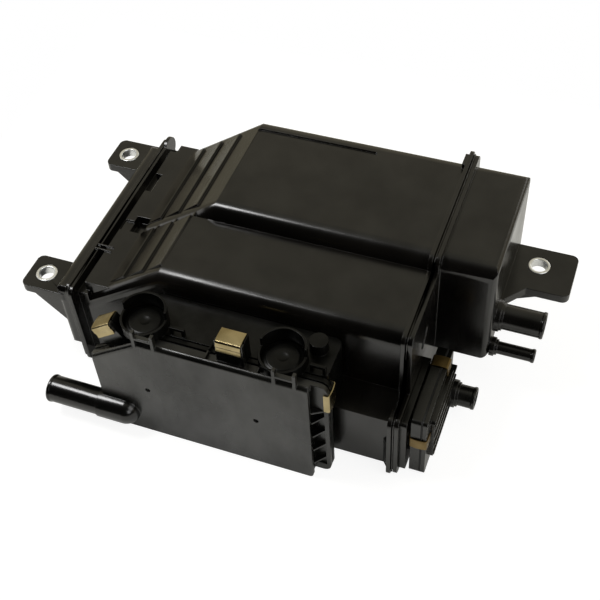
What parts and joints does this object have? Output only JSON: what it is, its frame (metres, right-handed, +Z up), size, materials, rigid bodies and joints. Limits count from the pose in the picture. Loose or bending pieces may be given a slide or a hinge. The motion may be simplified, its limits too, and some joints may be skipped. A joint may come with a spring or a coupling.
{
  "type": "charcoal canister",
  "caption": "Moulded charcoal canister with stepped twin chambers, end caps, mounting ears with steel bushes, hose ports, an air filter box and a vent valve.",
  "frame": {"origin": "middle of the outer box, at the plane it rests on", "axes": "+X along the canister from the two-ear end to the port end, +Y to the tall chamber, +Z up"},
  "size_m": [0.33, 0.2002, 0.112],
  "materials": {
    "black_nylon": "satin moulded",
    "filter_nylon": "satin moulded",
    "valve_nylon": "satin moulded",
    "bush_steel": "bright zinc",
    "clip_steel": "yellow zinc",
    "spring_steel": "drawn wire",
    "charcoal": "granular",
    "foam": "open cell",
    "grid_nylon": "moulded",
    "seal_rubber": "matt",
    "filter_paper": "pleated"
  },
  "bodies": {
    "root": {"canister_body": "black_nylon", "left_end_cap": "black_nylon", "right_end_cover": "black_nylon", "mount_bushes": "bush_steel", "rear_charcoal_bed": "charcoal", "front_charcoal_bed": "charcoal", "rear_left_pad": "foam", "rear_right_pad": "foam", "front_left_pad": "foam", "front_right_pad": "foam", "rear_left_grid": "grid_nylon", "rear_right_grid": "grid_nylon", "front_left_grid": "grid_nylon", "front_right_grid": "grid_nylon", "rear_springs": "spring_steel", "front_springs": "spring_steel", "filter_base": "filter_nylon", "filter_cover": "filter_nylon", "filter_gasket": "seal_rubber", "filter_element": "filter_paper", "filter_clips": "clip_steel", "cup_discs": "filter_nylon", "valve_housing": "valve_nylon", "valve_cover": "valve_nylon", "valve_diaphragm": "seal_rubber", "valve_plate": "grid_nylon", "valve_spring": "spring_steel", "valve_clips": "clip_steel"}
  },
  "joints": []
}
